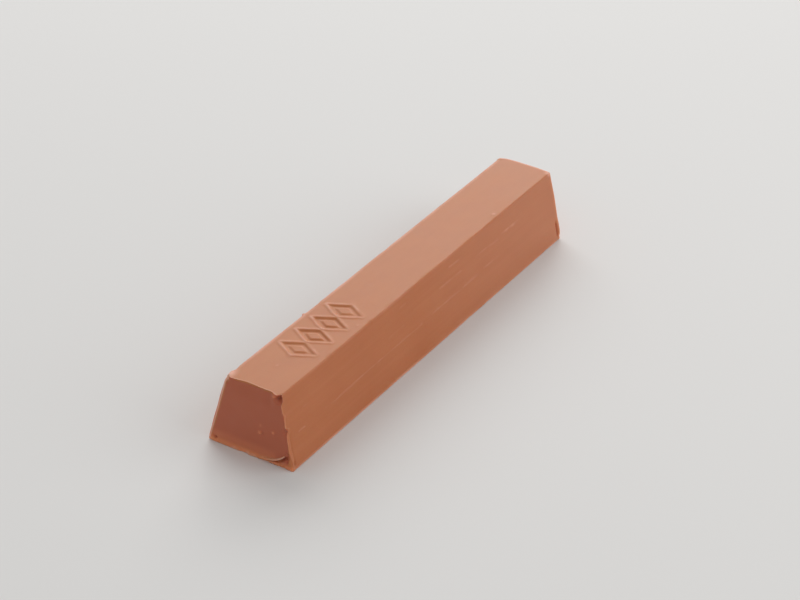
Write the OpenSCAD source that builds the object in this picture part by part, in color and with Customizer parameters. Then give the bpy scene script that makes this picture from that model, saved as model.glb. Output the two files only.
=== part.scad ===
// Furniture repair wax stick.
// One solid bar of coloured wax: a drafted trapezoid in section with softened long edges, a knife
// cut that rakes back at the near end, a slightly crowned far end, and a row of plain lozenges
// punched into the narrow top, each with a rim of wax pushed up around it.
// X runs along the bar with the raked end at -X, Z is up, and the origin is under its middle.

/* [Bar] */
// Length of the base from end to end
bar_length = 80; // [40:1:120]
// Width across the broad base
base_width = 15.6; // [12:0.1:20]
// Width across the narrow top
top_width = 9.7; // [8:0.1:12]
// Height from the base to the top
bar_height = 11.9; // [8:0.1:16]

/* [Long edges] */
// Radius of the two long edges of the top
top_edge_radius = 0.5; // [0.2:0.1:1]
// Radius of the two long edges of the base
base_edge_radius = 0.15; // [0.1:0.05:1]

/* [Cut ends] */
// How far the top is set back from the base at the raked near end
near_setback = 1.1; // [0.2:0.1:3]
// How far the lip along the near end's foot stands out from the cut face
lip_reach = 0.1; // [0.05:0.05:1]
// Height of the lip where it leaves the cut face
lip_height = 0.9; // [0.6:0.1:2]
// Height of the lip's outer edge
lip_edge = 0.3; // [0.1:0.1:0.5]
// How far the middle of the far end stands out past its corners
far_crown = 0.7; // [0.2:0.1:1.5]

/* [Punched row] */
// Number of lozenges in the row
mark_count = 4; // [1:1:6]
// Distance from one lozenge to the next
mark_pitch = 4.1; // [3.9:0.1:5]
// Size of a lozenge along the bar
mark_length = 3.2; // [2.6:0.1:3.4]
// Size of a lozenge across the bar
mark_width = 5.8; // [4:0.1:6.4]
// Width of the punched stroke at the surface
mark_stroke = 0.8; // [0.5:0.1:0.9]
// Depth of the punched stroke
mark_depth = 0.2; // [0.1:0.05:0.6]
// Lean of the stroke's walls away from upright, in degrees
mark_draft = 20; // [5:1:30]
// Width of the pushed-up wax around a lozenge
rim_width = 0.3; // [0.1:0.1:0.4]
// Height of the pushed-up wax above the top
rim_height = 0.1; // [0.05:0.05:0.3]
// Distance from the near end of the base to the middle of the row
row_offset = 19; // [16:0.5:22]

/* [Hidden] */
$fn = 96;
wax_colour = [0.66, 0.41, 0.29];
// Straight steps that make up the round of a long edge
edge_steps = 8;
// Blanks run this far past what they are cut to
overrun = 1;

near_end = -bar_length / 2;
far_end = bar_length / 2;
half_base = base_width / 2;
half_top = top_width / 2;
// Lean of the long sides away from upright
side_lean = atan2(half_base - half_top, bar_height);
// Radius of the far end in plan, from its crown and the width that it spans
far_radius = (half_base * half_base + far_crown * far_crown) / (2 * far_crown);
blank_length = bar_length + 2 * overrun;
blank_width = base_width + 2 * overrun;

// Turn of a lozenge's edges from straight across the bar, and the distance from its middle to them
mark_turn = atan2(mark_length, mark_width);
mark_reach = mark_length / 2 * cos(mark_turn);
// Sideways run of a stroke's wall for each millimetre of depth
mark_lean = tan(mark_draft);
// Height above the top to which the stroke's cutter reaches, clear of the rims
mark_clear = 2 * rim_height;

// Points along an arc, from one angle to another
function arc(centre, radius, from, to) = [
    for (i = [0 : edge_steps])
        let (angle = from + (to - from) * i / edge_steps)
        centre + radius * [cos(angle), sin(angle)]
];

// The bar's outline in section, from the round of the base up to the round of the top, and back
// down the other side
module section() {
    base_round = [half_base - base_edge_radius * tan(45 + side_lean / 2), base_edge_radius];
    top_round = [half_top - top_edge_radius * tan(45 - side_lean / 2), bar_height - top_edge_radius];
    right_side = concat(
        arc(base_round, base_edge_radius, -90, side_lean),
        arc(top_round, top_edge_radius, side_lean, 90)
    );
    left_side = [for (i = [len(right_side) - 1 : -1 : 0]) [-right_side[i].x, right_side[i].y]];
    polygon(concat(right_side, left_side));
}

// The bar seen from its side: the near end rakes back above the lip that the knife dragged out
module side_view() {
    polygon([
        [near_end, 0],
        [far_end, 0],
        [far_end, bar_height],
        [near_end + near_setback, bar_height],
        [near_end + lip_reach, lip_height],
        [near_end, lip_edge]
    ]);
}

// The bar seen from above: straight up to the corners of the far end, then its crown
module plan_view() {
    straight_length = bar_length - far_crown;
    crown_start = far_end - far_crown - overrun;
    translate([near_end, -blank_width / 2]) square([straight_length, blank_width]);
    intersection() {
        translate([crown_start, -blank_width / 2]) square([far_end - crown_start, blank_width]);
        translate([far_end - far_radius, 0]) circle(far_radius);
    }
}

// The bar before it is punched: what its section, side and plan have in common
module blank() {
    intersection() {
        rotate([90, 0, 90]) linear_extrude(blank_length, center = true) section();
        rotate([90, 0, 0]) linear_extrude(blank_width, center = true) side_view();
        linear_extrude(bar_height) plan_view();
    }
}

// A lozenge with leaning walls, cut out where two ridged strips cross: reach is the distance from
// its middle to its edges, at the low and the high level
module lozenge(low_level, low_reach, high_level, high_reach) {
    intersection_for(side = [-1, 1])
        rotate([90, 0, side * mark_turn])
            linear_extrude(2 * mark_width, center = true)
                polygon([
                    [-low_reach, low_level],
                    [low_reach, low_level],
                    [high_reach, high_level],
                    [-high_reach, high_level]
                ]);
}

// Places what follows at each lozenge of the row, with its zero level on the top of the bar
module each_mark() {
    row_start = near_end + row_offset - mark_pitch * (mark_count - 1) / 2;
    for (i = [0 : mark_count - 1])
        translate([row_start + i * mark_pitch, 0, bar_height]) children();
}

// Wax pushed up by the punch, rooted below the top so that it is one with the bar
module rim() {
    foot_reach = mark_reach + rim_width;
    flank = rim_width / 2;
    lozenge(-rim_height, foot_reach + flank, rim_height, foot_reach - flank);
}

// The stroke that the punch leaves, between an outer wall and an inner island
module stroke() {
    island_reach = mark_reach - mark_stroke;
    floor_shift = mark_depth * mark_lean;
    mouth_shift = mark_clear * mark_lean;
    difference() {
        lozenge(-mark_depth, mark_reach - floor_shift, mark_clear, mark_reach + mouth_shift);
        lozenge(-mark_depth, island_reach + floor_shift, mark_clear, island_reach - mouth_shift);
    }
}

module wax_bar() {
    color(wax_colour)
        difference() {
            union() {
                blank();
                each_mark() rim();
            }
            each_mark() stroke();
        }
}

wax_bar();
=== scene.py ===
"""Looks of the furniture repair wax stick, laid over the frame of its CAD model.

The bar is worked out in millimetres in the CAD frame: X along its length with the raked cut at -X, Z up.
Left is +Y and right is -Y, as seen from the raked, near end. The mesh is a lattice of rings along X,
closed at both ends by a grid over each cut face.
"""

import math
from typing import NamedTuple

import bmesh
import bpy
import numpy as np
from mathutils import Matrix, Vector


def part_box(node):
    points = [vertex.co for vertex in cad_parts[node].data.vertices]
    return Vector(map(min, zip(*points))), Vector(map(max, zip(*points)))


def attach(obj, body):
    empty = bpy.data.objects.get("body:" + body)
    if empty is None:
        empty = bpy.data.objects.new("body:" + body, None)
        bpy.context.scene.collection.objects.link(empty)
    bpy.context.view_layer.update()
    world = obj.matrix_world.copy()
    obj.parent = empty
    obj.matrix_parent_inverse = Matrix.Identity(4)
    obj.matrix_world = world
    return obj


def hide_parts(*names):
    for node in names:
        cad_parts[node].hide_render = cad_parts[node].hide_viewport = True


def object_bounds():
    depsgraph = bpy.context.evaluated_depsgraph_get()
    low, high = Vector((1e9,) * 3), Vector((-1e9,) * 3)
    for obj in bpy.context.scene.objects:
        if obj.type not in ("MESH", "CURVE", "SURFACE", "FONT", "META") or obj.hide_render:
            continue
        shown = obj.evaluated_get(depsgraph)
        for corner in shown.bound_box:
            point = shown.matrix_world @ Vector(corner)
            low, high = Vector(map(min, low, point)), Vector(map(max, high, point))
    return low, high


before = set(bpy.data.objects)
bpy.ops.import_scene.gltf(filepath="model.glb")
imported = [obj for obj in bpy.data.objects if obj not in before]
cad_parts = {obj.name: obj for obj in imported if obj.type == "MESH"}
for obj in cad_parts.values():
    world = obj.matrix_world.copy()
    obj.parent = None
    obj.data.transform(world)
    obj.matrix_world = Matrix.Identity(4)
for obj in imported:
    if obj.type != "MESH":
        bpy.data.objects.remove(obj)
cad_low, cad_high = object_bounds()

MM = 0.001
box_low, box_high = (np.array(corner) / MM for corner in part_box("wax_bar"))
NEAR_END, FAR_END = box_low[0], box_high[0]

# Section: that of the CAD model, but for the rounds of the base and the right half of the top
RIM_HEIGHT = 0.1
TOP_LEVEL = box_high[2] - RIM_HEIGHT
HALF_BASE = 7.8
BASE_ROUND = 0.2
# Half widths of the top and rounds of its edges, to the left and to the right
HALF_TOP_LEFT, HALF_TOP_RIGHT = 4.85, 4.97
TOP_ROUND_LEFT, TOP_ROUND_RIGHT = 0.5, 0.3

# Cut ends, as in the CAD model, and how far along the bar their shapes die away
SETBACK = 1.1
LIP_REACH = 0.1
LIP_HEIGHT = 0.9
LIP_EDGE = 0.3
FAR_CROWN = 0.7
END_FADE = 6.0

# Punched row, and the part of the top that it takes up
MARK_MIDDLE = NEAR_END + 19
MARK_PITCH = 4.1
MARK_DEPTHS = (0.13, 0.16, 0.15, 0.12)
MARK_LENGTH = 3.2
MARK_WIDTH = 5.8
MARK_STROKE = 0.8
MARK_TURN = math.atan2(MARK_LENGTH, MARK_WIDTH)
MARK_REACH = MARK_LENGTH / 2 * math.cos(MARK_TURN)
MARK_ZONE_X = (NEAR_END + 10.6, NEAR_END + 27.4)
MARK_ZONE_Y = 3.4
MARK_ZONE_DEPTH = 0.2
MARK_ZONE_MARGIN = 0.3

# Lattice: cells of half edges, of the base and top, and of the sides, and how much they crowd
ROUND_CELLS = 4
FLAT_CELLS = 46
SIDE_CELLS = 60
BASE_CROWDING = 0.5
SIDE_CROWDING = 0.45
BASE, LEFT, TOP, RIGHT = range(4)
# Where rings stand along X: start, end and spacing
STATION_ZONES = (
    (NEAR_END, NEAR_END + 1.2, 0.12),
    (NEAR_END + 1.2, MARK_ZONE_X[0], 0.45),
    (*MARK_ZONE_X, 0.2),
    (MARK_ZONE_X[1], FAR_END - 1.4, 0.5),
    (FAR_END - 1.4, FAR_END, 0.14),
)
NOISE_KNOTS = 64


def ease(t):
    """Runs smoothly from 0 to 1 as t does."""
    t = np.clip(t, 0, 1)
    return t * t * (3 - 2 * t)


def hump(t, middle, width):
    """A smooth hump of height 1."""
    return np.exp(-(((t - middle) / width) ** 2))


def falloff(distance, reach, height=1.0):
    """Runs from a height down to 0 at a reach, ever more gently."""
    return height * np.clip(1 - distance / reach, 0, 1) ** 2


def noise(seed, u, v=0.0):
    """Smooth noise from -1 to 1 with one knot for each unit of u and v."""
    table = np.random.default_rng(seed).uniform(-1, 1, (NOISE_KNOTS, NOISE_KNOTS))
    u, v = np.broadcast_arrays(np.asarray(u, float), np.asarray(v, float))
    cell_u = np.floor(u).astype(int)
    cell_v = np.floor(v).astype(int)
    part_u = ease(u - cell_u)
    part_v = ease(v - cell_v)

    def knot(du, dv):
        return table[(cell_u + du) % NOISE_KNOTS, (cell_v + dv) % NOISE_KNOTS]

    low = knot(0, 0) * (1 - part_u) + knot(1, 0) * part_u
    high = knot(0, 1) * (1 - part_u) + knot(1, 1) * part_u
    return low * (1 - part_v) + high * part_v


class Span(NamedTuple):
    """A stretch over which something comes in or dies away."""

    start: float
    run: float
    height: float = 1.0

    def rise(self, t):
        """Runs smoothly from 0 up to the height."""
        return self.height * ease((t - self.start) / self.run)

    def fall(self, t):
        """Runs smoothly from the height down to 0."""
        return self.height - self.rise(t)


class Bump(NamedTuple):
    """A smooth bump, or a dent where its height is negative."""

    height: float
    middle: float
    width: float

    def at(self, t):
        """Height of the bump at a place."""
        return self.height * hump(t, self.middle, self.width)


class Wave(NamedTuple):
    """A layer of noise: its seed, height and length, or lengths along two measures."""

    seed: int
    height: float
    length: float
    second_length: float = 1.0

    def at(self, u, v=0.0, shift=0):
        """Height of the layer at a place, either way of zero."""
        return self.height * noise(self.seed + shift, u / self.length, v / self.second_length)

    def above_zero(self, u, v=0.0):
        """The same, counted from its deepest."""
        return self.height + self.at(u, v)


def between(t, foot, head):
    """Comes in over one stretch and dies away over another."""
    return foot.rise(t) * head.fall(t)


def bumpy(bumps, t):
    """Bumps side by side."""
    return sum(bump.at(t) for bump in bumps)


def layered(waves, u, v=0.0, shift=0):
    """Layers of noise over each other."""
    return sum(wave.at(u, v, shift) for wave in waves)


def unit(vectors):
    """The same directions with a length of 1."""
    return vectors / np.linalg.norm(vectors, axis=1)[:, None]


def smooth_curve(t, knots):
    """A smooth curve through knots at 0, 1, 2 and so on."""
    before = np.clip(np.floor(t).astype(int), 0, len(knots) - 2)
    slopes = np.gradient(knots)
    part = t - before
    a, b = knots[before], knots[before + 1]
    lean_a, lean_b = slopes[before], slopes[before + 1]
    rest = 1 - part
    eased = a * (1 + 2 * part) * rest**2 + b * (3 - 2 * part) * part**2
    return eased + lean_a * part * rest**2 - lean_b * part**2 * rest


def stations():
    """Where the rings stand along X."""
    runs = [np.linspace(a, b, round((b - a) / step), endpoint=False) for a, b, step in STATION_ZONES]
    return np.append(np.concatenate(runs), FAR_END)


def arc(centre, radius, start, end):
    """Points and outward directions of half a rounded edge."""
    angles = np.radians(np.linspace(start, end, ROUND_CELLS + 1))
    away = np.stack([np.cos(angles), np.sin(angles)], axis=1)
    return np.array(centre) + radius * away, away


def joined(first, last, cells, crowding=0.0):
    """Two half edges with the flat between them, whose cells may crowd toward both."""
    even = np.linspace(0, 1, cells + 1)[1:-1, None]
    parts = (1 - crowding) * even + crowding * (1 - np.cos(math.pi * even)) / 2
    flat = first[0][-1] * (1 - parts) + last[0][0] * parts
    away = np.repeat(first[1][-1:], len(flat), axis=0)
    points = np.concatenate([first[0], flat, last[0]])
    return points, np.concatenate([first[1], away, last[1]])


def mirrored(run):
    """The same run on the other side of the bar, walked the other way."""
    flip = np.array([-1, 1])
    return run[0][::-1] * flip, run[1][::-1] * flip


def half_section(half_top, top_round):
    """The left half of the section: runs under, up and over, split amid its edges."""
    lean = math.degrees(math.atan2(HALF_BASE - half_top, TOP_LEVEL))
    half_turn = math.radians(lean / 2)
    foot = (HALF_BASE - BASE_ROUND * math.tan(math.pi / 4 + half_turn), BASE_ROUND)
    head = (half_top - top_round * math.tan(math.pi / 4 - half_turn), TOP_LEVEL - top_round)
    foot_middle = (lean - 90) / 2
    head_middle = (lean + 90) / 2
    under = arc(foot, BASE_ROUND, -90, foot_middle)
    up_start = arc(foot, BASE_ROUND, foot_middle, lean)
    up_end = arc(head, top_round, lean, head_middle)
    over = arc(head, top_round, head_middle, 90)
    return under, joined(up_start, up_end, SIDE_CELLS, SIDE_CROWDING), over


# How far from the section's corners the flats start
FLAT_START = Span(0.3, 0.6)


class Ring:
    """The section's outline: base, left side, top and right side, from corner to corner."""

    def __init__(self):
        under_left, left, over_left = half_section(HALF_TOP_LEFT, TOP_ROUND_LEFT)
        under_right, right, over_right = half_section(HALF_TOP_RIGHT, TOP_ROUND_RIGHT)
        base = joined(mirrored(under_right), under_left, FLAT_CELLS, BASE_CROWDING)
        top = joined(over_left, mirrored(over_right), FLAT_CELLS)
        faces = (base, left, top, mirrored(right))
        self.across = len(base[0]) - 1
        self.up = len(left[0]) - 1
        self.points = np.concatenate([run[0][:-1] for run in faces])
        self.y, self.z = self.points.T
        self.away = np.concatenate([run[1][:-1] for run in faces])
        self.face = np.repeat(range(4), [len(run[0]) - 1 for run in faces])
        self.starts = np.searchsorted(self.face, range(4))
        steps = np.linalg.norm(np.roll(self.points, -1, axis=0) - self.points, axis=1)
        self.travel = np.concatenate([[0], np.cumsum(steps)])
        self.count = len(self.points)

    def sides(self, values):
        """The four sides of what goes round, walked leftward or upward."""
        loop = np.concatenate([values, values[:1]])
        lengths = (self.across, self.up, self.across, self.up)
        base, left, top, right = (loop[at : at + far + 1] for at, far in zip(self.starts, lengths))
        return base, left, top[::-1], right[::-1]

    def from_corner(self, corner):
        """Distance of each point along the outline from a corner."""
        gap = np.abs(self.travel[:-1] - self.travel[self.starts[corner]])
        return np.minimum(gap, self.travel[-1] - gap)

    def by_corner(self, corner, breadth):
        """Runs to 1 at a corner, over some breadth of the outline."""
        return hump(self.from_corner(corner), 0, breadth)

    def inset(self):
        """Runs from 0 at the corners to 1 on the flats."""
        nearest = np.min([self.from_corner(corner) for corner in range(4)], axis=0)
        return FLAT_START.rise(nearest)


def from_left(y, z):
    """Distance across the bar from its left side."""
    return HALF_BASE - (HALF_BASE - HALF_TOP_LEFT) * z / TOP_LEVEL - y


def from_right(y, z):
    """Distance across the bar from its right side."""
    return HALF_BASE - (HALF_BASE - HALF_TOP_RIGHT) * z / TOP_LEVEL + y


# The torn strip at the near cut's right border: its head, and its width, more at the foot
STRIP_HEAD = Span(5.5, 0.6)
STRIP_WIDTH, STRIP_EXTRA = 0.28, Span(0.8, 1.5, 0.45)
# Where the near cut's upper corners are knocked off, and how deep
RIGHT_CHIP_Z, RIGHT_CHIP_Y = Span(10.4, 0.6, 0.6), Span(-4.7, 0.4)
LEFT_CHIP_Z, LEFT_CHIP_Y, LEFT_CHIP = Span(10.7, 0.8), Span(4.1, 0.5), 0.3


def strip_width(z):
    """Width of the torn strip at a height."""
    return STRIP_WIDTH + STRIP_EXTRA.fall(z)


def left_chip(y, z):
    """Runs to 1 where the top left corner is knocked off."""
    return LEFT_CHIP_Z.rise(z) * LEFT_CHIP_Y.rise(y)


# The near cut's lip: the tuck of its foot, its wander, and the groove above it
LIP_TUCK = 0.03
LIP_WANDER, LIP_WANDER_HEAD = Wave(16, 0.35, 1.1), Span(1, 2)
LIP_GROOVE, LIP_GROOVE_ENDS = Bump(0.04, LIP_HEIGHT + 0.1, 0.25), Span(5, 1.5)
# The breaks in the lip's edge, and where they calm down to the left and upward
LIP_BREAK, LIP_BREAK_WAVES = 0.11, (Wave(11, 0.12, 1.3), Wave(12, 0.06, 0.5))
LIP_BREAK_LEFT = Span(1, 3, 0.7)
LIP_BREAK_HEAD = Span(LIP_EDGE, LIP_HEIGHT - LIP_EDGE)


def near_rake(y, z):
    """The rake of the near cut above its uneven lip."""
    level = z * (1 + LIP_WANDER.at(y) * LIP_WANDER_HEAD.fall(z))
    rake = np.interp(level, [0, LIP_EDGE, LIP_HEIGHT, TOP_LEVEL], [LIP_TUCK, 0, LIP_REACH, SETBACK])
    return rake + LIP_GROOVE.at(level) * LIP_GROOVE_ENDS.fall(np.abs(y))


def lip_breaks(y, z):
    """The broken edge of the near cut's lip."""
    ragged = LIP_BREAK + layered(LIP_BREAK_WAVES, y)
    return ragged * (1 - LIP_BREAK_LEFT.rise(y)) * LIP_BREAK_HEAD.fall(z)


# Rounds of the near cut's borders: reach and depth, and at which heights
TOP_ROLL = (0.4, 0.1)
LEFT_ROLL, LEFT_ROLL_FOOT = (0.4, 0.22), Span(0, 1.5)
RIGHT_ROLL, RIGHT_ROLL_FOOT = (0.3, 0.1), Span(0, 1)
CORNER_ROLL, CORNER_ROLL_HEAD = (0.6, 0.3), Span(1.5, 2)


def near_rounds(y, z):
    """The rounded borders of the near cut."""
    left = falloff(from_left(y, z), *LEFT_ROLL) * LEFT_ROLL_FOOT.rise(z)
    right = falloff(from_right(y, z), *RIGHT_ROLL) * between(z, RIGHT_ROLL_FOOT, STRIP_HEAD)
    corner = falloff(from_right(y, z), *CORNER_ROLL) * CORNER_ROLL_HEAD.fall(z)
    return falloff(TOP_LEVEL - z, *TOP_ROLL) + left + right + corner


# The hollow of the near cut, and the dip in its upper border, weaker to the left
CUT_HOLLOW = Span(0, 4, 0.1)
DIP, DIP_RIGHT, DIP_LEFT = Span(9, 2.5, 0.35), Span(-4.1, 1.1), Span(0.8, 3, 0.75)


def near_hollows(y, z):
    """The hollow of the near cut and the dip in its upper border."""
    hollow = CUT_HOLLOW.rise(z) * (1 - (y / HALF_BASE) ** 2)
    return hollow + DIP.rise(z) * DIP_RIGHT.rise(y) * (1 - DIP_LEFT.rise(y))


# The knife's slanted drag and broad waves
NEAR_SLANT = 0.06
NEAR_DRAG = (Wave(13, 0.012, 0.45, 9), Wave(14, 0.006, 0.2, 6))
NEAR_WAVES = (Wave(15, 0.04, 2.6, 2.2), Wave(17, 0.012, 0.9, 0.8))
NEAR_MARKS_FOOT = Span(0.5, 1.0)


def near_marks(y, z):
    """Drag marks and waves that the knife left on the near cut."""
    marks = layered(NEAR_DRAG, y + NEAR_SLANT * z, z) + layered(NEAR_WAVES, y, z)
    return marks * NEAR_MARKS_FOOT.rise(z)


def near_offset(y, z):
    """How far the near cut lies behind the end of the base."""
    chips = RIGHT_CHIP_Z.rise(z) * RIGHT_CHIP_Y.fall(y) + LEFT_CHIP * left_chip(y, z)
    lip = near_rake(y, z) + lip_breaks(y, z)
    return lip + near_rounds(y, z) + near_hollows(y, z) + chips + near_marks(y, z)


# Pits and pimples of the near cut: y, z, depth and width
NEAR_PITS = (
    (-4.35, 11.2, 1.0, 0.36),
    (-3.85, 11.45, -0.2, 0.28),
    (-6.15, 6.3, 0.5, 0.35),
    (-2.02, 4.56, 0.26, 0.24),
    (-1.6, 4.6, -0.25, 0.22),
    (-3.98, 5.42, -0.2, 0.22),
    (6.5, 0.75, 0.6, 0.24),
    (0.4, 6.8, 0.04, 0.35),
    (1.5, 7.2, -0.035, 0.3),
    (-0.3, 5.9, 0.045, 0.3),
)
# The same of the far cut
FAR_PITS = (
    (-2.4, 8.1, 0.16, 0.3),
    (3.1, 3.4, 0.2, 0.26),
    (3.5, 3.3, -0.1, 0.24),
    (0.6, 6.2, 0.08, 0.5),
    (-4.6, 2.2, 0.12, 0.35),
)
# The curl of wax that the knife lifted from the lip: y, z and how far it stands off the cut
CURL_PATH = (
    (-1.8, 0.55, 0.0),
    (-2.9, 0.62, 0.05),
    (-3.9, 0.8, 0.1),
    (-4.85, 1.18, 0.14),
    (-5.65, 1.73, 0.18),
    (-6.3, 2.35, 0.2),
)
# The tear beside the near cut's right border, and the fold behind the torn strip
TEAR, TEAR_Z = Bump(0.06, 0.3, 0.22), (Span(3.0, 1.0), Span(6.0, 0.5))
FOLD, FOLD_Z = Bump(0.3, 0.22, 0.16), (Span(0.6, 0.4), Span(2.6, 0.8))
# The curl's hollow: by distance below the curl, by Y and by height
SCOOP = (Span(0.1, 0.25, 0.5), Span(0.65, 0.25))
SCOOP_Y, SCOOP_FOOT = (Span(-6.7, 0.25), Span(-4.4, 0.8)), Span(0.3, 0.25)


def spotted(u, v, spots):
    """Height or depth of the spots of a face."""
    return sum(size * hump(u, at_u, width) * hump(v, at_v, width) for at_u, at_v, size, width in spots)


def near_detail(y, z):
    """Pits, tear, fold and curl's hollow, only inside the near cut."""
    torn = TEAR.at(from_right(y, z)) * between(z, *TEAR_Z)
    fold = FOLD.at(from_right(y, z) - strip_width(z)) * between(z, *FOLD_Z)
    path_y, path_z, _ = np.array(CURL_PATH).T
    below = np.interp(y, path_y[::-1], path_z[::-1]) - z
    scoop = between(below, *SCOOP) * between(y, *SCOOP_Y) * SCOOP_FOOT.rise(z)
    return spotted(y, z, NEAR_PITS) + torn + fold + scoop


# The far cut's worn corners, at the top left and the bottom right
FAR_TOP_Y, FAR_TOP_Z = Bump(0.4, HALF_TOP_LEFT, 0.8), Bump(1.0, TOP_LEVEL, 0.6)
FAR_FOOT_Y, FAR_FOOT_Z = Bump(0.45, -HALF_BASE, 0.8), Span(0, 1.6)
# The knife's slanted drag and broad waves, a ragged foot and a lean
FAR_SLANT = -0.04
FAR_DRAG = (Wave(21, 0.02, 0.5, 8), Wave(24, 0.01, 0.28, 5))
FAR_WAVES = Wave(22, 0.04, 2.8, 2.4)
FAR_RAGGED, FAR_RAGGED_HEAD = Wave(23, 0.08, 1.3), Span(0, 0.8)
FAR_LEAN = Span(7, 5, 0.2)


def far_offset(y, z):
    """How far the far cut lies behind the tip of its crown."""
    crown = FAR_CROWN * (y / HALF_BASE) ** 2
    worn = FAR_TOP_Y.at(y) * FAR_TOP_Z.at(z) + FAR_FOOT_Y.at(y) * FAR_FOOT_Z.fall(z)
    drag = sum(wave.above_zero(y + FAR_SLANT * z, z) for wave in FAR_DRAG)
    ragged = FAR_RAGGED.above_zero(y) * FAR_RAGGED_HEAD.fall(z)
    return crown + worn + drag + FAR_WAVES.above_zero(y, z) + ragged + FAR_LEAN.rise(z)


# Burrs around the near cut, their unevenness, and the nick in the right one
LEFT_FIN, LEFT_FIN_WAVE = (Span(0, 1.5, 0.16), Span(8, 2.5)), Wave(31, 0.05, 1.2)
TOP_FIN, TOP_FIN_WAVE = Span(2, 2.5, 0.15), Wave(32, 0.05, 0.9)
RIGHT_FIN, RIGHT_FIN_WAVE = 0.08, Wave(33, 0.06, 0.7)
RIGHT_FIN_BUMPS = (Bump(0.12, 7.4, 0.35), Bump(0.1, 3.4, 0.8), Bump(-0.28, 8.7, 0.28))
NICK = (Span(5.7, 0.35, 0.65), Span(6.7, 0.3))


def near_fins(ring):
    """Thin burrs that stand out around the near cut."""
    y, z = ring.y, ring.z
    left = between(z, *LEFT_FIN) + LEFT_FIN_WAVE.at(z)
    top = TOP_FIN.rise(y) + TOP_FIN_WAVE.at(y)
    right = RIGHT_FIN + bumpy(RIGHT_FIN_BUMPS, z) + RIGHT_FIN_WAVE.at(z) - between(z, *NICK)
    return np.choose(ring.face, [0, left, top, right]) * ring.inset()


# Wax rolled out at the left of the near cut, by distance from it, and a burr at the right
LEFT_FLARE, LEFT_FLARE_FOOT = Bump(0.14, 0.3, 0.4), Span(0, 1.5)
LEFT_FLARE_LEVEL, LEFT_FLARE_WAVE = 0.9, Wave(34, 0.3, 1.6)
RIGHT_BURR, RIGHT_BURR_Z = Bump(0.1, 0.1, 0.3), (Span(6.4, 0.3), Span(8.6, 1.6))
# The split behind the torn strip, and the strip's ridge by distance from it
SPLIT_PLACE, SPLIT_LEAN = 0.85, Span(0, 4, 0.25)
SPLIT_DEPTH, SPLIT_EXTRA = 0.06, Span(0.9, 0.9, 0.16)
SPLIT_WIDTH = 0.18
STRIP_RIDGE = Bump(0.05, -0.5, 0.22)


def near_flare(x, ring):
    """Wax beside the near cut, rolled out at the left and torn at the right."""
    along = x[:, None] - NEAR_END
    z = ring.z
    left = LEFT_FLARE.at(along) * LEFT_FLARE_FOOT.rise(z) * (LEFT_FLARE_LEVEL + LEFT_FLARE_WAVE.at(z))
    burr = RIGHT_BURR.at(along) * between(z, *RIGHT_BURR_Z)
    from_split = along - SPLIT_PLACE + SPLIT_LEAN.fall(z)
    depth = SPLIT_DEPTH + SPLIT_EXTRA.fall(z)
    strip = STRIP_RIDGE.at(from_split) - depth * hump(from_split, 0, SPLIT_WIDTH)
    return np.choose(ring.face, [0, left, 0, burr + strip * STRIP_HEAD.fall(z)])


# The far cut's burr low on the right and the crease behind it, by distance and by height
FAR_BURR = Bump(0.08, 0.2, 0.4)
CREASE, CREASE_DEPTH = Bump(1.0, 0.95, 0.22), 0.3
CREASE_Z = (Span(0.5, 0.5), Span(2.6, 1.0))


def far_crease(x, z):
    """The crease behind the burr of the far cut, as a share of its depth."""
    return CREASE.at(FAR_END - x) * between(z, *CREASE_Z)


def far_flare(x, ring):
    """The far cut's burr, with the crease behind it."""
    x = x[:, None]
    z = ring.z
    burr = FAR_BURR.at(FAR_END - x) * between(z, *CREASE_Z) - CREASE_DEPTH * far_crease(x, z)
    return np.where(ring.face == RIGHT, burr, 0)


# First seeds of the base, left side, top and right side
FACE_SEEDS = (41, 100, 43, 200)
# Scores on the sides: start and end along X from the near end, height at both, width, depth
SCORES = {
    LEFT: (
        (8.0, 31.0, 6.6, 6.3, 0.21, 0.036),
        (27.0, 58.0, 3.4, 3.7, 0.21, 0.034),
        (49.0, 72.0, 8.4, 8.1, 0.21, 0.038),
        (14.0, 20.0, 9.3, 9.4, 0.2, 0.028),
    ),
    RIGHT: (
        (2.6, 5.6, 4.7, 4.74, 0.22, 0.06),
        (9.5, 38.0, 4.76, 5.02, 0.21, 0.032),
        (39.0, 62.5, 5.18, 5.4, 0.21, 0.038),
        (42.5, 50.5, 7.94, 7.97, 0.21, 0.041),
        (42.5, 49.5, 8.82, 8.87, 0.19, 0.02),
        (53.5, 62.5, 8.08, 8.16, 0.21, 0.042),
        (61.0, 68.4, 8.34, 8.42, 0.21, 0.07),
        (46.0, 50.5, 9.96, 9.98, 0.2, 0.07),
        (4.5, 11.0, 7.6, 7.63, 0.2, 0.026),
        (31.5, 35.0, 10.02, 10.07, 0.2, 0.026),
        (27.5, 33.5, 7.02, 7.02, 0.2, 0.024),
        (55.5, 60.5, 6.17, 6.22, 0.2, 0.024),
    ),
}
# How scores run in, wander, and come and go
SCORE_SEED = 10
SCORE_RUN_IN = 1.2
SCORE_WANDER = (Wave(0, 0.05, 3.5), Wave(20, 0.05, 1.3))
SCORE_LEVEL = 0.7
SCORE_PATCHES = (Wave(40, 0.3, 2.4), Wave(60, 0.3, 1.0))
# Wax turned up above a score: place in its widths, height as a share of its depth
TURNED_UP_PLACE = 1.5
TURNED_UP_HEIGHT = 0.8
# Swell and drawing lines of the sides, and grain of the top and base, by a face's seed
SIDE_SWELL = Wave(0, 0.02, 13, 4.5)
SIDE_LEVEL = 0.6
SIDE_PATCHES = Wave(1, 0.4, 11, 2.2)
SIDE_LINES = (Wave(2, 0.008, 22, 0.45), Wave(3, 0.005, 9, 0.26))
FLAT_WAVES = (Wave(0, 0.012, 9, 3.5), Wave(1, 0.005, 1.6, 1.1))


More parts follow.
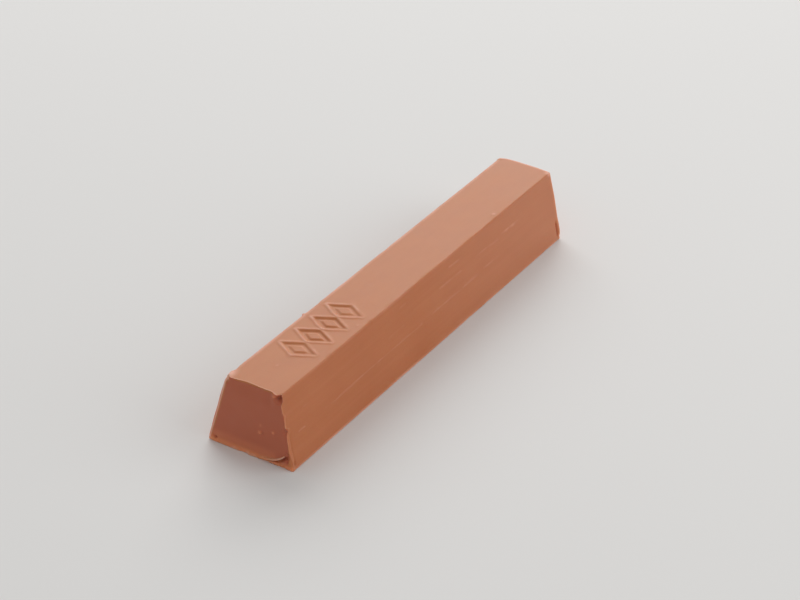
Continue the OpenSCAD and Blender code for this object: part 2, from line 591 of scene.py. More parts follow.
def scored(x, z, face):
    """Relief of the scores along a side, and how much of their turned up wax gets a painted highlight."""
    relief = pale = 0.0
    along = x - NEAR_END
    for number, (start, end, z_start, z_end, width, deep) in enumerate(SCORES[face]):
        seed = FACE_SEEDS[face] + SCORE_SEED + number
        share = (along - start) / (end - start)
        line = z_start + (z_end - z_start) * share + layered(SCORE_WANDER, along, shift=seed)
        run = between(along, Span(start, SCORE_RUN_IN), Span(end - SCORE_RUN_IN, SCORE_RUN_IN))
        strength = run * (SCORE_LEVEL + layered(SCORE_PATCHES, along, shift=seed))
        turned_up = hump(z, line + TURNED_UP_PLACE * width, width)
        relief = relief + deep * strength * (TURNED_UP_HEIGHT * turned_up - hump(z, line, width))
        pale = np.maximum(pale, deep * strength * turned_up)
    return relief, pale


def side_relief(x, z, face):
    """Undulation, drawing lines and scores of a long side."""
    seed = FACE_SEEDS[face]
    patchy = SIDE_LEVEL + SIDE_PATCHES.at(x, z, seed)
    lines = layered(SIDE_LINES, x, z, seed)
    return SIDE_SWELL.at(x, z, seed) + lines * patchy + scored(x, z, face)[0]


# Pimples and dots of the top: distance from the near end, y, height and width
TOP_SPOTS = (
    (7.6, 0.1, 0.035, 0.35),
    (62.4, -4.1, 0.08, 0.3),
    (33.9, 1.2, -0.03, 0.3),
    (22.9, -3.9, 0.03, 0.3),
)
# Wander and nicks of the long edges
EDGE_WANDER = (Wave(70, 0.014, 6.5), Wave(80, 0.006, 1.1))
EDGE_NICK, EDGE_NICK_WAVE = Span(0.6, 0.3, 0.05), Wave(90, 1.0, 1.9)
EDGE_BREADTH = 0.4
# Burrs of the top's left edge by distance from an end: outward, then sideways
EDGE_NEAR_BURR = Bump(0.1, 0.7, 1.0)
EDGE_FAR_BURR = Bump(0.12, 0.4, 0.5)
LEFT_BURRS = (Bump(0.42, 21.1, 0.15), Bump(0.2, 1.9, 0.7), Bump(-0.15, 3.4, 0.7))
LEFT_BURR_BREADTH = 0.35
# The shallow hollow that runs along the right side above its foot
RIGHT_HOLLOW = (Span(0.25, 0.25, 0.07), Span(2, 7))


def edge_relief(x, corner):
    """Wander, nicks and burrs of a long edge, along its outward direction."""
    nicks = EDGE_NICK.rise(EDGE_NICK_WAVE.at(x, shift=corner))
    relief = layered(EDGE_WANDER, x, shift=corner) - nicks
    if corner == TOP:
        relief = relief + EDGE_NEAR_BURR.at(x - NEAR_END) + EDGE_FAR_BURR.at(FAR_END - x)
    return relief


def long_relief(x, ring):
    """Outward relief of the rings at the stations x."""
    y, z = ring.y, ring.z
    flare = near_flare(x, ring) + far_flare(x, ring)
    x = x[:, None]
    base, top = (layered(FLAT_WAVES, x, y, FACE_SEEDS[face]) for face in (BASE, TOP))
    left, right = (side_relief(x, z, face) for face in (LEFT, RIGHT))
    top = top + spotted(x - NEAR_END, y, TOP_SPOTS)
    plain = np.choose(ring.face, [base, left, top, right])
    hollow = np.where(ring.face == RIGHT, between(z, *RIGHT_HOLLOW), 0)
    relief = (plain + flare) * ring.inset() - hollow
    for corner in range(4):
        relief = relief + edge_relief(x, corner) * ring.by_corner(corner, EDGE_BREADTH)
    return relief


# The punched lozenges: soft corners, wander, unevenness, and walls by distance from the middle
MARK_SOFT = 0.15
MARK_WANDER_X = Wave(51, 0.05, 1.5)
MARK_WANDER_Y = Wave(55, 0.06, 1.2)
MARK_UNEVEN = Wave(65, 0.2, 1.5, 1.5)
MARK_WALLS = (Span(MARK_REACH - MARK_STROKE - 0.18, 0.46), Span(MARK_REACH - 0.4, 0.46))
# Their rims: height, tilt over distances along and across, unevenness and ridge
MARK_RIM = 0.07
RIM_TILT = 0.02
RIM_TILT_X, RIM_TILT_Y = 2, 3
RIM_UNEVEN = Wave(60, 0.025, 0.8, 0.8)
RIM_RIDGE = Bump(1.0, MARK_REACH + 0.22, 0.3)


def softened(distance):
    """A distance from a line, with the crease along that line softened."""
    return np.hypot(distance, MARK_SOFT) - MARK_SOFT


def punched(x, y):
    """How far the punch pressed the top down, and pushed up the wax around it."""
    pressed = pushed = 0.0
    first = MARK_MIDDLE - MARK_PITCH * (len(MARK_DEPTHS) - 1) / 2
    for number, depth in enumerate(MARK_DEPTHS):
        dx = x - first - MARK_PITCH * number + MARK_WANDER_X.at(y, shift=number)
        dy = y + MARK_WANDER_Y.at(x, shift=number)
        reach = softened(dx) * math.cos(MARK_TURN) + softened(dy) * math.sin(MARK_TURN)
        uneven = 1 + MARK_UNEVEN.at(x, y, number)
        pressed = np.minimum(pressed, -depth * uneven * between(reach, *MARK_WALLS))
        rim = MARK_RIM + RIM_TILT * np.clip(dy / RIM_TILT_Y - dx / RIM_TILT_X, -1, 1)
        rim = rim + RIM_UNEVEN.at(x, y, number)
        pushed = np.maximum(pushed, rim * RIM_RIDGE.at(reach))
    return pressed, pushed


def coons(ring, points):
    """A grid of section points that fills the ring's outline, with its rows going up."""
    low, left, high, right = ring.sides(points)
    u = np.linspace(0, 1, ring.across + 1)[None, :, None]
    v = np.linspace(0, 1, ring.up + 1)[:, None, None]
    ruled_up = (1 - v) * low[None] + v * high[None]
    ruled_across = (1 - u) * right[:, None] + u * left[:, None]
    corners = (1 - u) * (1 - v) * low[0] + u * (1 - v) * low[-1]
    corners = corners + (1 - u) * v * high[0] + u * v * high[-1]
    return ruled_up + ruled_across - corners


def inside(grid):
    """Y and Z over a grid of section points, without its border."""
    return np.moveaxis(grid[1:-1, 1:-1], -1, 0)


def cap_numbers(ring, ring_start, inner_start):
    """Vertex numbers over a cut face: its ring's around the border, its own inside."""
    wide, tall = ring.across, ring.up
    numbers = np.zeros((tall + 1, wide + 1), int)
    inner = np.arange((tall - 1) * (wide - 1)).reshape(tall - 1, wide - 1)
    numbers[1:-1, 1:-1] = inner_start + inner
    border = ring_start + np.arange(ring.count)
    numbers[0], numbers[:, -1], numbers[-1], numbers[:, 0] = ring.sides(border)
    return numbers


def quads(numbers):
    """Faces between the neighbours of a grid of vertex numbers."""
    corners = [numbers[:-1, :-1], numbers[:-1, 1:], numbers[1:, 1:], numbers[1:, :-1]]
    return np.stack([corner.ravel() for corner in corners], axis=1)


class Shell:
    """Vertices, faces, UV corners and looks of a mesh while it is put together.

    The first look runs from -1 for bare cut wax, and for painted shade in the far crease, through 0 for
    plain wax, to 1 for a full painted highlight. The second sets the drawn streaks and their painted tint
    of bounce light, the third the painted glow of thin wax.
    """

    def __init__(self):
        self.points = []
        self.faces = []
        self.uvs = []
        self.looks = {"wear": [], "streaky": [], "thin": []}
        self.count = 0

    def add_points(self, points, **looks):
        """Adds vertices with a value, or one for each, of every look."""
        self.points.append(points)
        for name, values in looks.items():
            self.looks[name].append(np.broadcast_to(values, len(points)))
        self.count += len(points)

    def add_faces(self, faces, uvs):
        """Adds faces, with the places of their corners in the UV map."""
        self.faces.append(faces)
        self.uvs.append(uvs)


# Painted highlights along the long edges, how pale and how broad: right and left of the base, left and
# right of the top
EDGE_HIGHLIGHT = ((1.0, 0.28), (0.7, 0.5), (0.8, 0.5), (0.25, 0.4))
EDGE_HIGHLIGHT_LEVEL = 0.75
EDGE_HIGHLIGHT_WAVE = Wave(71, 0.25, 2.2)
# Painted highlights on corners: the flap at the near cut's top left and the tip at the far cut's top
# right
FLAP_BREADTH, FLAP_HIGHLIGHT = 0.9, Bump(1.0, 1.2, 2.0)
TIP_BREADTH, TIP_HIGHLIGHT = 0.6, Bump(1.0, 0.4, 0.7)
# Painted highlights on the four long faces beside the near and the far cut: how pale, and how far in
NEAR_HIGHLIGHT, NEAR_HIGHLIGHT_REACH = (0.4, 0.9, 0.4, 0.2), 0.45
FAR_HIGHLIGHT, FAR_HIGHLIGHT_REACH = (0.4, 0.6, 0.7, 0.45), 0.35
# Painted sheen on the same faces, growing toward the far end
FAR_SHEEN = (0, 0.23, 0, 0.23)
FAR_SHEEN_SPAN = Span(0, FAR_END - NEAR_END)
# Painted highlights on the top's pimples and on the wax that scores turned up, for each millimetre of
# height
SPOT_HIGHLIGHT, SPOT_HIGHLIGHT_MOST = 8, 0.6
SCORE_HIGHLIGHT = 9
# How strongly painted shade darkens the far crease
CREASE_PAINTED_SHADE = 1.6
# Painted glow of thin wax on the right side: the torn strip, and the far cut's rim
SIDE_STRIP_GLOW = Bump(0.1, 0.2, 0.3)
FAR_RIM_GLOW = Bump(0.4, 0, 0.4)


def long_wear(x, ring):
    """Painted highlights on long edges, corners, cut borders, pimples and scores, painted sheen toward
    the far end, and painted shade below zero in the far crease.
    """
    y, z = ring.y, ring.z
    x = x[:, None]
    from_near, from_far = x - NEAR_END, FAR_END - x
    edges = [highlight * ring.by_corner(corner, width) for corner, (highlight, width) in enumerate(EDGE_HIGHLIGHT)]
    spots = np.clip(SPOT_HIGHLIGHT * spotted(from_near, y, TOP_SPOTS), 0, SPOT_HIGHLIGHT_MOST)
    layers = [
        np.max(edges, axis=0) * (EDGE_HIGHLIGHT_LEVEL + EDGE_HIGHLIGHT_WAVE.at(x)),
        ring.by_corner(TOP, FLAP_BREADTH) * FLAP_HIGHLIGHT.at(from_near),
        ring.by_corner(RIGHT, TIP_BREADTH) * TIP_HIGHLIGHT.at(from_far),
        np.choose(ring.face, NEAR_HIGHLIGHT) * hump(from_near, 0, NEAR_HIGHLIGHT_REACH),
        np.choose(ring.face, FAR_HIGHLIGHT) * hump(from_far, 0, FAR_HIGHLIGHT_REACH),
        np.choose(ring.face, FAR_SHEEN) * FAR_SHEEN_SPAN.rise(from_near),
        np.where(ring.face == TOP, spots, 0),
    ]
    wear = np.maximum.reduce(layers)
    for face in SCORES:
        pale = SCORE_HIGHLIGHT * scored(x, z, face)[1]
        wear = np.where(ring.face == face, np.maximum(wear, pale), wear)
    return np.where(ring.face == RIGHT, wear - CREASE_PAINTED_SHADE * far_crease(x, z), wear)


def long_glow(x, ring):
    """Painted glow of thin wax beside the near cut and in the rim of the far one."""
    x = x[:, None]
    strip = SIDE_STRIP_GLOW.at(x - NEAR_END) * STRIP_HEAD.fall(ring.z)
    return np.where(ring.face == RIGHT, strip + FAR_RIM_GLOW.at(FAR_END - x), 0)


# The lip's looks: the fade of its painted light, the pit at its left end, left without it so it shows
# dark, its painted highlight and its painted glow
LIP_FADE = Span(0.3, 0.9)
LIP_PIT = (6.5, 0.7, 1.0, 0.26)
LIP_HIGHLIGHT, LIP_HIGHLIGHT_WAVE = 0.56, Wave(72, 0.05, 0.9)
LIP_GLOW, LIP_GLOW_WAVE = 0.85, Wave(73, 0.15, 1.4)
# Places along Y where the lip gets stronger painted highlights, how strong and how broad
LIP_SPOTS = (2.97, 0.54, -0.55)
LIP_SPOT_HIGHLIGHT, LIP_SPOT_WIDTH = 0.25, 0.4
# Painted light above the lip, which lightens the shade there, left out at the right under the curl so its
# shade stays
ABOVE_LIP_LIGHT, ABOVE_LIP_LIGHT_RIGHT = Span(1.4, 1.4, 0.3), Span(-5.2, 1.2)
# The near cut's left rim by distance from its border, which gets a painted highlight and painted glow,
# and the torn strip's looks, with its painted glow
LEFT_RIM = Span(0.25, 0.3)
LEFT_RIM_GLOW = 0.3
STRIP_BORDER = Span(0, 0.15)
STRIP_LOOK_HEAD = Span(2.6, 1.2)
STRIP_WEAR, STRIP_GLOW = 0.5, 0.25
# Painted highlights on specks of the near cut: y, z and how strong
CUT_SPECK_HIGHLIGHTS = (
    (-1.6, 4.6, 1.0),
    (-3.98, 5.42, 0.85),
    (-1.65, 5.8, 0.3),
    (-3.88, 11.5, 0.65),
)
SPECK_WIDTH, SPECK_HEIGHT = 0.22, 0.25
# Wear of the far cut, and its streaks
FAR_CUT_WEAR, FAR_CUT_STREAKS = -0.85, Wave(74, 0.15, 0.6, 6)


def lip_pit(y, z):
    """Runs to 1 in the pit at the left end of the lip."""
    return spotted(y, z, [LIP_PIT])


def lip_share(y, z):
    """Share of the lip's painted light: 1 on the lip of the near cut, 0 above it and in its pit."""
    return LIP_FADE.fall(z) * (1 - lip_pit(y, z))


def left_rim(y, z):
    """Runs to 1 along the left border of the near cut, where a painted highlight goes."""
    return np.maximum(LEFT_RIM.fall(from_left(y, z)), left_chip(y, z))


def torn_strip(y, z):
    """Runs to 1 along the low part of the near cut's right border."""
    return STRIP_BORDER.fall(from_right(y, z) - strip_width(z)) * STRIP_LOOK_HEAD.fall(z)


def near_cut_wear(y, z):
    """Bare cut wax, but plain wax on the torn strip and the lip, with painted highlights on the lip,
    strongest at its spots, and on the left rim.
    """
    spots = np.max([hump(y, spot, LIP_SPOT_WIDTH) for spot in LIP_SPOTS], axis=0)
    lip = lip_share(y, z) * (LIP_HIGHLIGHT + LIP_HIGHLIGHT_WAVE.at(y) + LIP_SPOT_HIGHLIGHT * spots)
    return 2 * np.maximum.reduce([lip, left_rim(y, z), STRIP_WEAR * torn_strip(y, z)]) - 1


def near_cut_glow(y, z):
    """Painted glow of thin wax in the near cut's lip, left rim and torn strip, painted light above the
    lip, and painted highlights on its specks.
    """
    lip = lip_share(y, z) * (LIP_GLOW + LIP_GLOW_WAVE.at(y))
    above_lip = ABOVE_LIP_LIGHT.fall(z) * (1 - lip_pit(y, z)) * ABOVE_LIP_LIGHT_RIGHT.rise(y)
    layers = [above_lip + (1 - above_lip) * lip, LEFT_RIM_GLOW * left_rim(y, z), STRIP_GLOW * torn_strip(y, z)]
    for at_y, at_z, pale in CUT_SPECK_HIGHLIGHTS:
        layers.append(pale * hump(y, at_y, SPECK_WIDTH) * hump(z, at_z, SPECK_HEIGHT))
    return np.maximum.reduce(layers)


# The UV map in millimetres: its size, the gaps in it, and the curl's place and steps
UV_SPAN = 84.0
UV_GAP = 1.0
CURL_UV = np.array([50.0, 60.0])
CURL_UV_STEP = (0.2, 0.12)
CURL_UV_END = CURL_UV - 0.5
# How strongly the four long faces show the drawn streaks and their painted reddish tint of bounce light,
# most on the sides
STREAKS_AND_SIDE_TINT = (0.5, 1.0, 0.2, 1.0)


def bar_tube(x, ring):
    """Points of all rings, with the relief of the long faces and of both cuts."""
    y, z = ring.y, ring.z
    relief = long_relief(x, ring)
    near = near_offset(y, z) - near_fins(ring)
    far = far_offset(y, z)
    near_fade = falloff(x - NEAR_END, END_FADE)
    far_fade = falloff(FAR_END - x, END_FADE)
    burrs = bumpy(LEFT_BURRS, x - NEAR_END)[:, None] * ring.by_corner(TOP, LEFT_BURR_BREADTH)
    tube = np.empty((len(x), ring.count, 3))
    tube[..., 0] = x[:, None] + near * near_fade[:, None] - far * far_fade[:, None]
    tube[..., 1] = y + ring.away[:, 0] * relief + burrs
    tube[..., 2] = z + ring.away[:, 1] * relief
    return tube


def strip_levels(ring):
    """Where the strips of the long faces start in the UV map, and then the cuts."""
    heights = np.diff(ring.travel[np.append(ring.starts, ring.count)])
    return UV_GAP + np.append(0, np.cumsum(heights + UV_GAP))


def add_tube(shell, x, ring, tube, levels):
    """Adds the long faces."""
    shell.add_points(
        tube.reshape(-1, 3),
        wear=long_wear(x, ring).ravel(),
        streaky=np.tile(np.choose(ring.face, STREAKS_AND_SIDE_TINT), len(x)),
        thin=long_glow(x, ring).ravel(),
    )
    numbers = np.arange(len(x) * ring.count).reshape(len(x), ring.count)
    closed = np.concatenate([numbers, numbers[:, :1]], axis=1)
    v_start = ring.travel[:-1] - ring.travel[ring.starts][ring.face] + levels[ring.face]
    v_end = v_start + np.diff(ring.travel)
    u = x - NEAR_END + UV_GAP
    u_low, v_low = (grid.ravel() for grid in np.meshgrid(u[:-1], v_start, indexing="ij"))
    u_high, v_high = (grid.ravel() for grid in np.meshgrid(u[1:], v_end, indexing="ij"))
    uvs = np.stack([u_low, v_low, u_low, v_high, u_high, v_high, u_high, v_low], axis=1)
    shell.add_faces(quads(closed), uvs.reshape(-1, 4, 2))


def near_cap(plain, worn):
    """X, cut colour with painted light, and painted glow of thin wax inside the near cut, from its
    section points before and after wear.
    """
    depth = near_offset(*plain) + near_detail(*worn)
    return NEAR_END + depth, near_cut_wear(*plain), near_cut_glow(*plain)


def far_cap(plain, worn):
    """The same inside the far cut."""
    depth = far_offset(*plain) + spotted(*worn, FAR_PITS)
    return FAR_END - depth, FAR_CUT_WEAR + FAR_CUT_STREAKS.at(*plain), np.zeros_like(depth)


def add_cap(shell, ring, tube, level, is_near):
    """Closes one end of the tube with a grid over its cut face."""
    row = 0 if is_near else len(tube) - 1
    grid = coons(ring, ring.points)
    worn = inside(coons(ring, tube[row, :, 1:]))
    cap = near_cap if is_near else far_cap
    x, wear, thin = cap(inside(grid), worn)
    numbers = cap_numbers(ring, row * ring.count, shell.count)
    points = np.stack([x, *worn], axis=-1).reshape(-1, 3)
    shell.add_points(points, wear=wear.ravel(), streaky=0.0, thin=thin.ravel())
    middle = UV_GAP + HALF_BASE
    if not is_near:
        middle = middle + 2 * HALF_BASE + UV_GAP
    flat = (grid + np.array([middle, level])).reshape(-1, 2)
    faces = quads(numbers)
    places = quads(np.arange(len(flat)).reshape(numbers.shape))
    if is_near:
        faces, places = faces[:, ::-1], places[:, ::-1]
    shell.add_faces(faces, flat[places])


def bar_shell():
    """The bar before it is punched: its long faces, its near cut and its far cut."""
    ring = Ring()
    x = stations()
    tube = bar_tube(x, ring)
    levels = strip_levels(ring)
    shell = Shell()
    add_tube(shell, x, ring, tube, levels)
    for is_near in (True, False):
        add_cap(shell, ring, tube, levels[-1], is_near)
    return shell


# The curl: its flat oval, facing and cells, its swell from the root and taper to the tip
CURL_WIDTH = 0.42
CURL_THICKNESS = 0.09
CURL_FACING = (-0.5, 0.4, 0.77)
CURL_STEPS = 40
CURL_SIDES = 10
CURL_ROOT = 0.4
CURL_SWELL = Span(0, 0.3)
CURL_TAPER = 1.02
CURL_UNEVEN = Wave(37, 0.15, 1 / 9)
# Its painted highlight at the root, how much more its tip gets, and the painted glow of its thin wax
CURL_HIGHLIGHT, CURL_TIP_HIGHLIGHT = 0.1, 0.8
CURL_GLOW = 0.9


def curl_rings():
    """Rings of the curl's flat oval, their middles and their share of the way."""
    knots = np.array(CURL_PATH)
    reach = np.linspace(0, len(knots) - 1, CURL_STEPS + 1)
    y, z, off = (smooth_curve(reach, knots[:, axis]) for axis in range(3))
    middles = np.stack([NEAR_END + near_offset(y, z) - off, y, z], axis=1)
    forward = unit(np.gradient(middles, axis=0))
    broad = unit(np.cross(forward, CURL_FACING))
    thin = np.cross(forward, broad)
    share = reach / reach[-1]
    swell = CURL_ROOT + (1 - CURL_ROOT) * CURL_SWELL.rise(share)
    taper = swell * np.sqrt(np.clip(CURL_TAPER - share**3, 0, 1))
    width = CURL_WIDTH * taper * (1 + CURL_UNEVEN.at(share))
    turn = np.linspace(0, 2 * math.pi, CURL_SIDES + 1)[:-1]
    across = np.cos(turn)[None, :, None] * (width[:, None] * broad)[:, None]
    deep = np.sin(turn)[None, :, None] * (CURL_THICKNESS * taper[:, None] * thin)[:, None]
    return middles[:, None] + across + deep, middles, share


def add_curl(shell):
    """Adds the curl, from its root in the lip to its tip, closed at both."""
    rings, middles, share = curl_rings()
    wear = CURL_HIGHLIGHT + CURL_TIP_HIGHLIGHT * ease(share)
    numbers = shell.count + np.arange(rings.size // 3).reshape(-1, CURL_SIDES)
    shell.add_points(rings.reshape(-1, 3), wear=np.repeat(wear, CURL_SIDES), streaky=0.0, thin=CURL_GLOW)
    root, tip = shell.count, shell.count + 1
    shell.add_points(middles[[0, -1]], wear=wear[[0, -1]], streaky=0.0, thin=CURL_GLOW)
    rows, columns = np.arange(CURL_STEPS + 1), np.arange(CURL_SIDES + 1)
    places = np.stack(np.meshgrid(rows, columns, indexing="ij"), axis=-1)
    flat = (places * CURL_UV_STEP + CURL_UV).reshape(-1, 2)
    corners = quads(np.arange(len(flat)).reshape(len(rows), len(columns)))
    shell.add_faces(quads(np.concatenate([numbers, numbers[:, :1]], axis=1)), flat[corners])
    for row, middle, step in ((numbers[0], root, 1), (numbers[-1], tip, -1)):
        faces = np.stack([np.full_like(row, middle), row, np.roll(row, step)], axis=1)
        shell.add_faces(faces, np.full((len(row), 3, 2), CURL_UV_END))


def wax_mesh(name, shell):
    """A Blender mesh in metres from a shell, with its UV map for baking."""
    mesh = bpy.data.meshes.new(name)
    points = np.concatenate(shell.points)
    faces = [face for run in shell.faces for face in run.tolist()]
    mesh.from_pydata(points * MM, [], faces)
    layer = mesh.uv_layers.new(name="OFBake")
    corners = np.concatenate([run.reshape(-1, 2) for run in shell.uvs])
    layer.data.foreach_set("uv", (corners / UV_SPAN).ravel())
    for look, runs in shell.looks.items():
        layer = mesh.attributes.new(look, "FLOAT", "POINT")
        layer.data.foreach_set("value", np.concatenate(runs))
    return mesh


# Cuts of edges under the row, painted highlight on a full punch rim, and angle of a sharp edge
ROW_CUTS = 2
RIM_HIGHLIGHT = 0.4
SHARP_ANGLE = 52


def refine_row(mesh):
    """Cuts the faces of the top finer where the row is punched."""
    edit = bmesh.new()
    edit.from_mesh(mesh)
    edges = set()
    for face in edit.faces:
        middle = face.calc_center_median() / MM
        in_row = MARK_ZONE_X[0] < middle.x < MARK_ZONE_X[1] and abs(middle.y) < MARK_ZONE_Y
        if in_row and middle.z > TOP_LEVEL - MARK_ZONE_DEPTH:
            edges.update(face.edges)
    bmesh.ops.subdivide_edges(edit, edges=list(edges), cuts=ROW_CUTS, use_grid_fill=True)
    edit.to_mesh(mesh)
    edit.free()


def finish_bar(mesh):
    """Punches the row, paints highlights on the rims it pushed up, and keeps the bar inside its CAD box.
    """
    points = np.empty(len(mesh.vertices) * 3)
    mesh.vertices.foreach_get("co", points)
    points = points.reshape(-1, 3) / MM
    on_top = points[:, 2] > TOP_LEVEL - MARK_ZONE_DEPTH
    on_top = on_top & (np.abs(points[:, 1]) < MARK_ZONE_Y + MARK_ZONE_MARGIN)
    pressed, pushed = punched(points[on_top, 0], points[on_top, 1])
    points[on_top, 2] += pressed + pushed
    points = np.clip(points, box_low, box_high)
    wear = np.empty(len(points))
    mesh.attributes["wear"].data.foreach_get("value", wear)
    # Painted highlight on the pushed-up rims
    wear[on_top] = np.maximum(wear[on_top], RIM_HIGHLIGHT * pushed / RIM_HEIGHT)
    mesh.attributes["wear"].data.foreach_set("value", wear)
    mesh.vertices.foreach_set("co", (points * MM).ravel())
    mesh.shade_smooth()
    mesh.set_sharp_from_angle(angle=math.radians(SHARP_ANGLE))
    mesh.update()


class Nodes:
    """A short way to add nodes to a tree, with their inputs set or linked."""

    def __init__(self, tree):
        self.tree = tree

    def feed(self, node, inputs):
        """Links each input to a socket, or sets it to a value."""
        for key, source in inputs.items():
            if isinstance(source, bpy.types.NodeSocket):
                self.tree.links.new(source, node.inputs[key])
            else:
                node.inputs[key].default_value = source

    def add(self, kind, inputs, **settings):
        """Adds a node of some kind."""
        node = self.tree.nodes.new(kind)
        for key, value in settings.items():
            setattr(node, key, value)
        self.feed(node, inputs)
        return node

    def look(self, name):
        """One of the looks that the mesh's points carry."""
        return self.add("ShaderNodeAttribute", {}, attribute_name=name).outputs["Fac"]

    def noise(self, coords, lengths, detail):
        """Noise over millimetres, with its own length along each axis."""
        scale = [1 / (length * MM) for length in lengths]
        mapping = self.add("ShaderNodeMapping", {"Scale": scale, "Vector": coords})
        inputs = {"Scale": 1.0, "Detail": detail, "Vector": mapping.outputs["Vector"]}
        return self.add("ShaderNodeTexNoise", inputs).outputs["Fac"]

    def ramp(self, factor, places, colours):
        """Colours at places along a factor."""
        ramp = self.add("ShaderNodeValToRGB", {"Fac": factor})
        elements = ramp.color_ramp.elements
        while len(elements) < len(places):
            elements.new(0.5)
        for element, place, colour in zip(elements, places, colours):
            element.position = place
            element.color = (*colour, 1)
        return ramp.outputs["Color"]

    def mix(self, factor, first, second):
        """The second colour laid over the first by a factor."""
        inputs = {"Factor": factor, "A": first, "B": second}
        return self.add("ShaderNodeMix", inputs, data_type="RGBA").outputs["Result"]

    def ranged(self, value, start, end, low, high):
        """Runs from low to high as a value runs from start to end."""
        inputs = {"From Min": start, "From Max": end, "To Min": low, "To Max": high, "Value": value}
        return self.add("ShaderNodeMapRange", inputs).outputs["Result"]


# Colours of the wax in its deep, usual and pale places: in the body, and in the drawn streaks with their
# painted reddish tint of bounce light
BODY = ((0.48, 0.169, 0.06), (0.5, 0.181, 0.067), (0.52, 0.194, 0.075))
BODY_PLACES = (0.3, 0.5, 0.72)
DRAWN_BOUNCE_TINT = ((0.48, 0.137, 0.06), (0.5, 0.147, 0.067), (0.52, 0.159, 0.075))
DRAWN_BOUNCE_TINT_PLACES = (0.3, 0.5, 0.7)
# How much of the drawn colour, with its painted tint, shows through the grain
SPECKLE = ((0.3, 0.3, 0.3), (0.6, 0.6, 0.6))
SPECKLE_PLACES = (0.3, 0.7)
# Bare cut wax, painted glow of thin wax, and the painted highlight colour
WAX_CUT = (0.5, 0.134, 0.073, 1)
WAX_GLOW = (0.82, 0.28, 0.13, 1)
WAX_HIGHLIGHT = (0.8, 0.43, 0.32, 1)
# The most that cut wax and the painted highlight cover, and the level from which the painted highlight
# shows
CUT_COVER = 0.9
HIGHLIGHT_COVER = 0.9
HIGHLIGHT_START = 0.1
# Lengths of the wax's noises along each axis in millimetres, and their detail
MOTTLE = ((7, 4, 4), 3)
STREAK = ((26, 0.7, 0.7), 4)
GRAIN = ((0.35, 0.3, 0.3), 2)
LINE = ((18, 0.22, 0.22), 3)
# Depths in millimetres of drawing lines and grain, and the strength of the latter
LINE_DEPTH = 0.01
GRAIN_DEPTH = 0.02
GRAIN_STRENGTH = 0.3
ROUGHNESS = (0.42, 0.52)
SURFACE = {
    "IOR": 1.44,
    "Specular IOR Level": 0.32,
    "Subsurface Weight": 0.35,
    "Subsurface Radius": (1.0, 0.36, 0.16),
    "Subsurface Scale": 0.6 * MM,
}


def wax_material():
    """Satin wax: streaked where drawn, with a painted reddish tint of bounce light on the sides, redder
    where cut, painted shade in the far crease, and painted glow, highlights and sheen.
    """
    material = bpy.data.materials.new("wax")
    material.use_nodes = True
    nodes = Nodes(material.node_tree)
    coords = nodes.add("ShaderNodeTexCoord", {}).outputs["Object"]
    wear, streaky, thin = (nodes.look(name) for name in ("wear", "streaky", "thin"))
    mottle, streaks, grain, lines = (nodes.noise(coords, *kind) for kind in (MOTTLE, STREAK, GRAIN, LINE))

    body = nodes.ramp(mottle, BODY_PLACES, BODY)
    drawn_tint = nodes.ramp(streaks, DRAWN_BOUNCE_TINT_PLACES, DRAWN_BOUNCE_TINT)
    speckle = nodes.ramp(grain, SPECKLE_PLACES, SPECKLE)
    # Painted reddish tint of bounce light, through the drawn streaks and strongest on the sides
    share = nodes.add("ShaderNodeMath", {0: speckle, 1: streaky}, operation="MULTIPLY")
    tone = nodes.mix(share.outputs["Value"], body, drawn_tint)
    # Bare cut wax, and painted shade in the far crease
    tone = nodes.mix(nodes.ranged(wear, 0.0, -1.0, 0.0, CUT_COVER), tone, WAX_CUT)
    # Painted glow of thin wax
    tone = nodes.mix(thin, tone, WAX_GLOW)
    # Painted highlights and sheen
    tone = nodes.mix(nodes.ranged(wear, HIGHLIGHT_START, 1.0, 0.0, HIGHLIGHT_COVER), tone, WAX_HIGHLIGHT)

    line_inputs = {"Strength": streaky, "Distance": LINE_DEPTH * MM, "Height": lines}
    line_bump = nodes.add("ShaderNodeBump", line_inputs)
    grain_inputs = {"Strength": GRAIN_STRENGTH, "Distance": GRAIN_DEPTH * MM, "Height": grain}
    grain_bump = nodes.add("ShaderNodeBump", grain_inputs)
    nodes.feed(grain_bump, {"Normal": line_bump.outputs["Normal"]})

    shader = material.node_tree.nodes["Principled BSDF"]
    nodes.feed(shader, SURFACE)
    nodes.feed(shader, {"Base Color": tone, "Normal": grain_bump.outputs["Normal"]})
    nodes.feed(shader, {"Roughness": nodes.ranged(mottle, 0.0, 1.0, *ROUGHNESS)})
    return material


def add_bar():
    """Adds the bar, its only piece."""
    shell = bar_shell()
    add_curl(shell)
    mesh = wax_mesh("wax_bar", shell)
    refine_row(mesh)
    finish_bar(mesh)
    mesh.materials.append(wax_material())
    bar = bpy.data.objects.new("wax_stick", mesh)
    bpy.context.collection.objects.link(bar)
    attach(bar, "root")
    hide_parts("wax_bar")


# The floor's size in metres, its gap under the bar in millimetres, and its looks
FLOOR_SIZE = 8
FLOOR_GAP = 0.02
FLOOR_SURFACE = {
    "Base Color": (0.74, 0.73, 0.715, 1),
    "Roughness": 0.75,
    "Specular IOR Level": 0.25,
}
# Colour behind the floor, and strength of the even light
BACKDROP = (0.8, 0.79, 0.775, 1)
AMBIENT = 0.47
# Lights: azimuth from +X to +Y and elevation in degrees, distance and size in metres, power in watts
LIGHTS = {
    "key": (46, 36, 1.0, 0.8, 4.4),
    "back": (20, 24, 1.0, 0.5, 2.0),
    "fill": (-70, 30, 0.55, 0.55, 1.02),
}
# The camera's place, aim, lens and sensor in millimetres, and its clip in metres
CAMERA_FROM = (-255.23, -166.95, 203.37)
CAMERA_AT = (2.267, 1.038, 4.248)
CAMERA_LENS = 102.56
CAMERA_SENSOR = 36
CAMERA_CLIP = 0.01


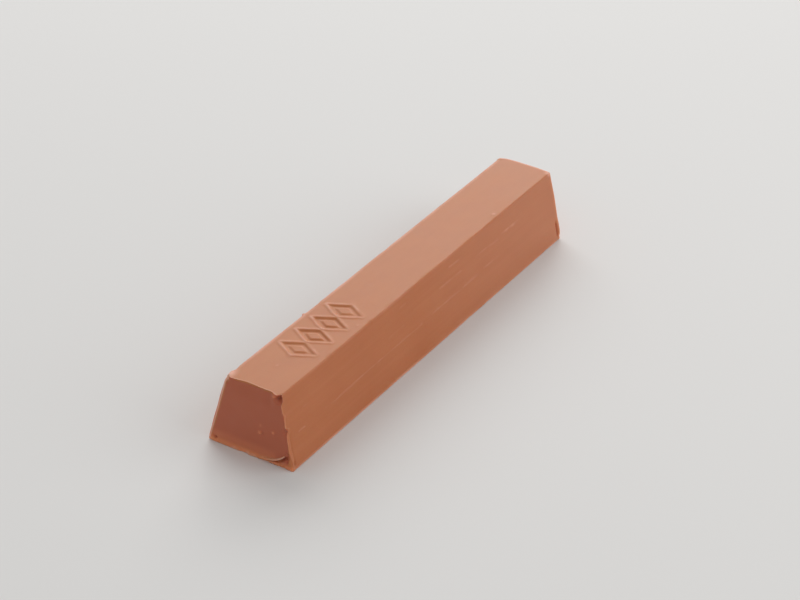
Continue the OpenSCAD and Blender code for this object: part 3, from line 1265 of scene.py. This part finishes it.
def add_floor():
    """Adds a plain floor just under the bar."""
    bpy.ops.mesh.primitive_plane_add(size=FLOOR_SIZE, location=(0, 0, cad_low.z - FLOOR_GAP * MM))
    floor = bpy.context.object
    floor.name = "floor"
    material = bpy.data.materials.new("floor")
    material.use_nodes = True
    tree = material.node_tree
    Nodes(tree).feed(tree.nodes["Principled BSDF"], FLOOR_SURFACE)
    floor.data.materials.append(material)


def add_light(name, azimuth, elevation, distance, size, power):
    """Adds a round soft light that looks at the origin."""
    turn, rise = math.radians(azimuth), math.radians(elevation)
    level = math.cos(rise)
    light = bpy.data.lights.new(name, "AREA")
    light.shape = "DISK"
    light.size = size
    light.energy = power
    lamp = bpy.data.objects.new(name, light)
    away = Vector((level * math.cos(turn), level * math.sin(turn), math.sin(rise)))
    lamp.location = away * distance
    lamp.rotation_euler = away.to_track_quat("Z", "Y").to_euler()
    lamp.visible_camera = False
    bpy.context.collection.objects.link(lamp)


def add_world():
    """Even light from all round, and a pale backdrop past the floor."""
    world = bpy.data.worlds.new("studio")
    bpy.context.scene.world = world
    world.use_nodes = True
    tree = world.node_tree
    nodes = Nodes(tree)
    even = tree.nodes["Background"]
    nodes.feed(even, {"Color": (1, 1, 1, 1), "Strength": AMBIENT})
    backdrop = nodes.add("ShaderNodeBackground", {"Color": BACKDROP})
    seen = nodes.add("ShaderNodeLightPath", {}).outputs["Is Camera Ray"]
    shades = {1: even.outputs["Background"], 2: backdrop.outputs["Background"]}
    mix = nodes.add("ShaderNodeMixShader", {"Fac": seen, **shades})
    nodes.feed(tree.nodes["World Output"], {"Surface": mix.outputs["Shader"]})


def add_camera():
    """Adds the camera that sees the bar as the photograph does."""
    data = bpy.data.cameras.new("camera")
    data.lens = CAMERA_LENS
    data.sensor_width = CAMERA_SENSOR
    data.clip_start = CAMERA_CLIP
    camera = bpy.data.objects.new("camera", data)
    place, aim = Vector(CAMERA_FROM) * MM, Vector(CAMERA_AT) * MM
    camera.location = place
    camera.rotation_euler = (aim - place).to_track_quat("-Z", "Y").to_euler()
    bpy.context.collection.objects.link(camera)
    bpy.context.scene.camera = camera


add_bar()
add_floor()
for light_name, light_settings in LIGHTS.items():
    add_light(light_name, *light_settings)
add_world()
add_camera()
bpy.context.scene.view_settings.view_transform = "Standard"
